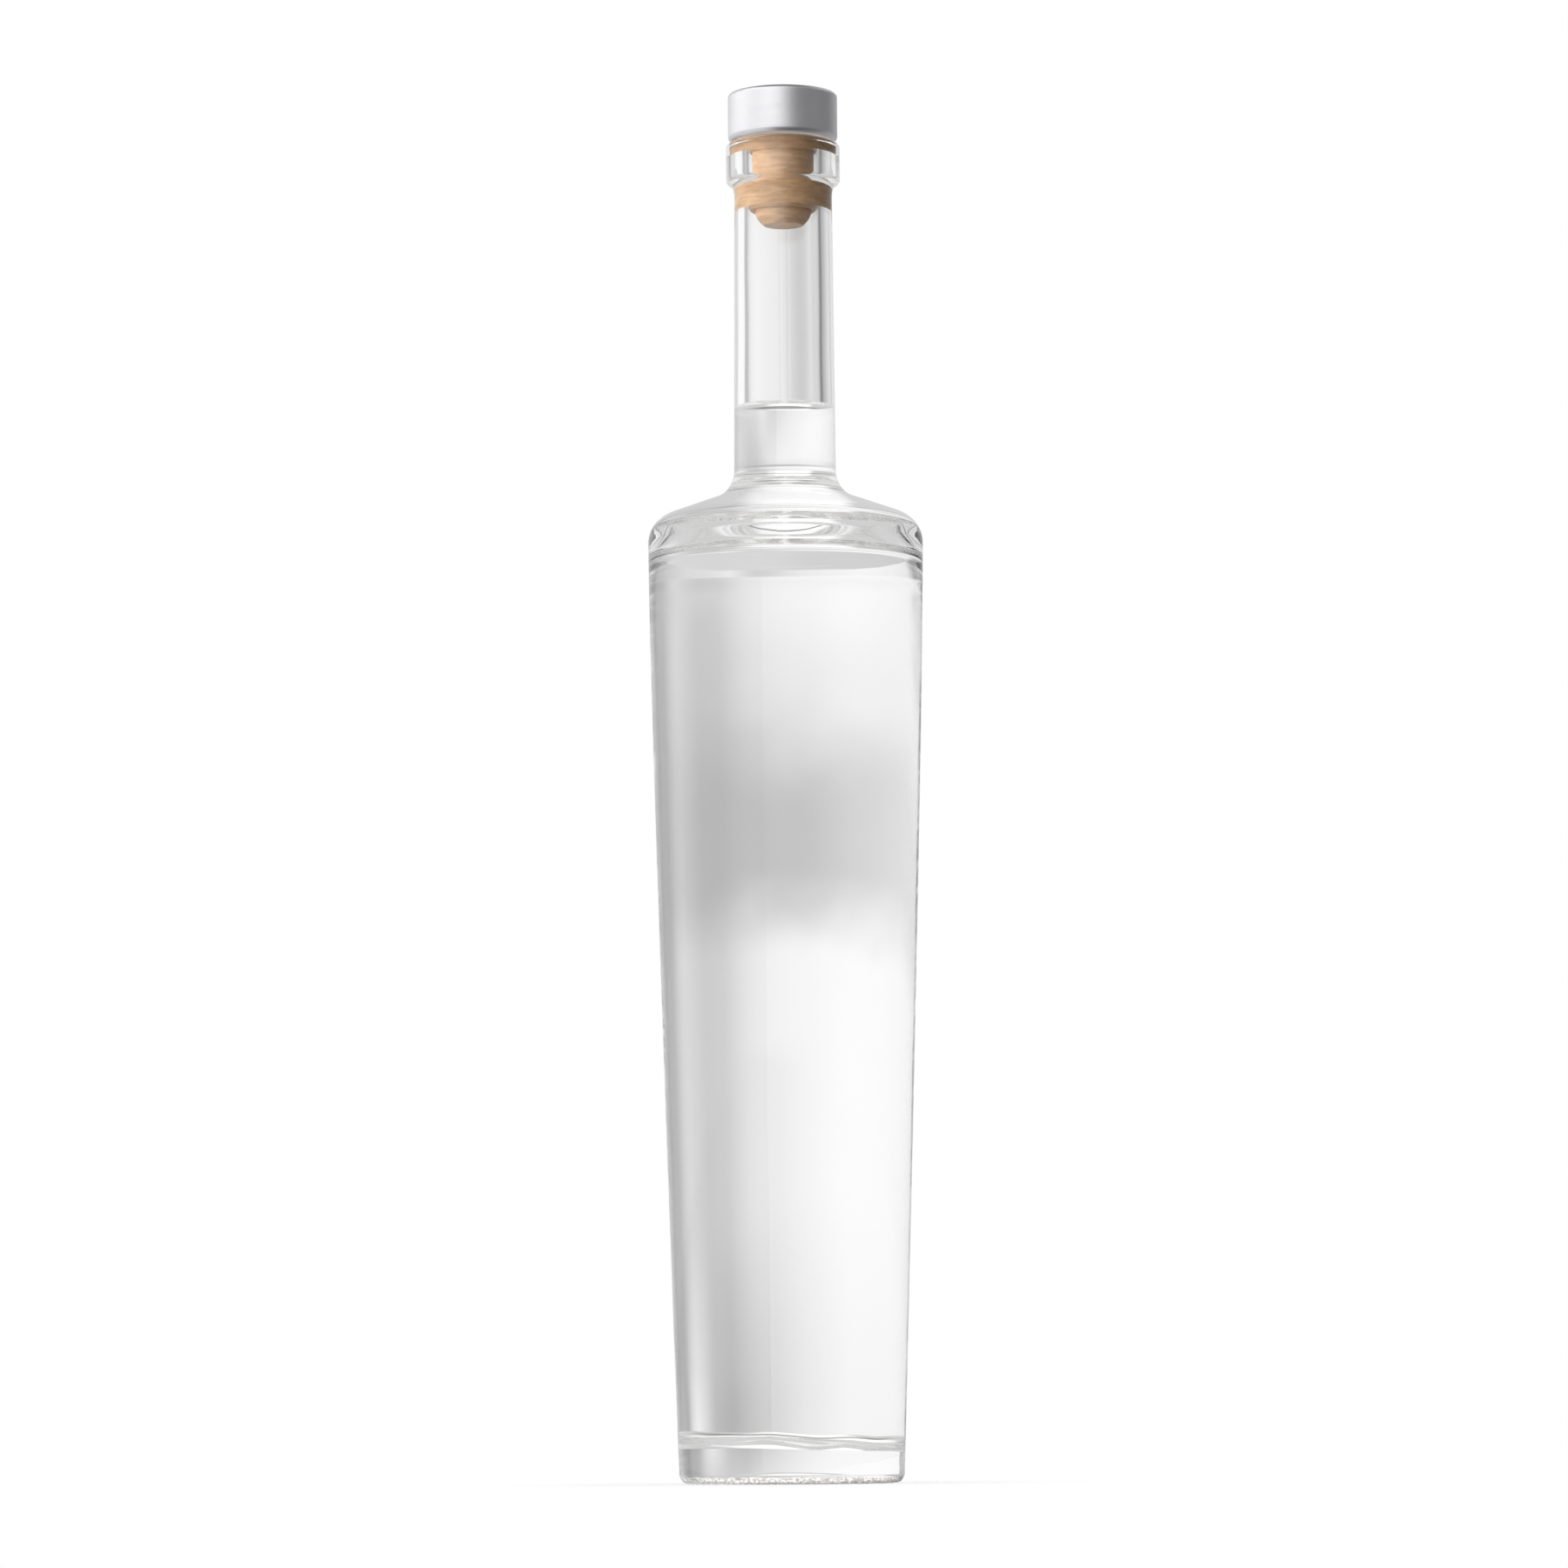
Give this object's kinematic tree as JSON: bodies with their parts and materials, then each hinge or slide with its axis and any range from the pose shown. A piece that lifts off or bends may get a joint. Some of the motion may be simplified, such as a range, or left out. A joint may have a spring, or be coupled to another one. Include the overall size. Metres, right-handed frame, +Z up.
{
  "type": "brandy bottle",
  "caption": "Tall tapering clear-glass spirit bottle, filled into the neck and closed by a bar-top stopper with a satin aluminium cap.",
  "frame": {"origin": "centre of the base, on the plane that the bottle stands on", "axes": "+Z up along the bottle's axis, the picture is taken looking along +Y"},
  "size_m": [0.0728, 0.0728, 0.3679],
  "materials": {
    "glass": "clear flint glass, polished",
    "spirit": "clear colourless liquid",
    "aluminium": "satin anodised",
    "stopper_head": "moulded, cork coloured",
    "stopper_shank": "moulded, cork coloured, fine grain"
  },
  "bodies": {
    "bottle": {"glass_bottle": "glass", "spirit": "spirit"},
    "stopper": {"cap_shell": "aluminium", "stopper_head": "stopper_head", "stopper_shank": "stopper_shank"}
  },
  "joints": [
    {"name": "stopper_pull", "type": "slide", "parent": "bottle", "child": "stopper", "axis": [0, 0, 1], "range_m": [0, 0.026]}
  ]
}
